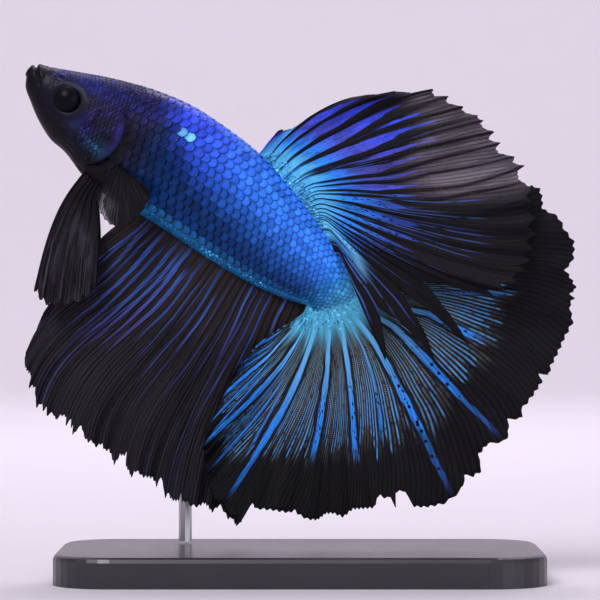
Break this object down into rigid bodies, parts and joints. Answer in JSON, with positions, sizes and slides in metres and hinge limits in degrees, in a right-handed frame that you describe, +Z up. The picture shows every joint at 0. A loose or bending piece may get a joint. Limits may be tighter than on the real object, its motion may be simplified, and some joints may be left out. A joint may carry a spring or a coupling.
{
  "type": "betta fish",
  "caption": "Life-size still model of a male halfmoon betta fish with spread fins, pitched nose-up on a rod above a flat display base.",
  "frame": {"origin": "centre of the stand's foot, on the surface the part stands on", "axes": "+Z up, +X along the stand towards the fish's tail (the nose points to -X and up), -Y is the fish's left side"},
  "size_m": [0.0661, 0.032, 0.0616],
  "materials": {
    "scaled_skin": "metallic royal blue to turquoise scales",
    "dark_head": "near black with a violet-blue sheen",
    "eye": "wet black",
    "fin_membrane": "smoky translucent membrane with blue rays",
    "stand_lacquer": "plain dark satin",
    "stand_steel": "satin"
  },
  "bodies": {
    "root": {"head": "dark_head", "lower_jaw": "dark_head", "gill_cover_left": "dark_head", "gill_cover_right": "dark_head", "eye_left": "eye", "eye_right": "eye", "trunk_front": "scaled_skin", "trunk_rear": "scaled_skin", "tail_stalk": "scaled_skin", "dorsal_fin": "fin_membrane", "caudal_fin": "fin_membrane", "anal_fin": "fin_membrane", "pelvic_fin_left": "fin_membrane", "pelvic_fin_right": "fin_membrane", "pectoral_fin_left": "fin_membrane", "pectoral_fin_right": "fin_membrane", "stand_base": "stand_lacquer", "stand_rod": "stand_steel"}
  },
  "joints": []
}
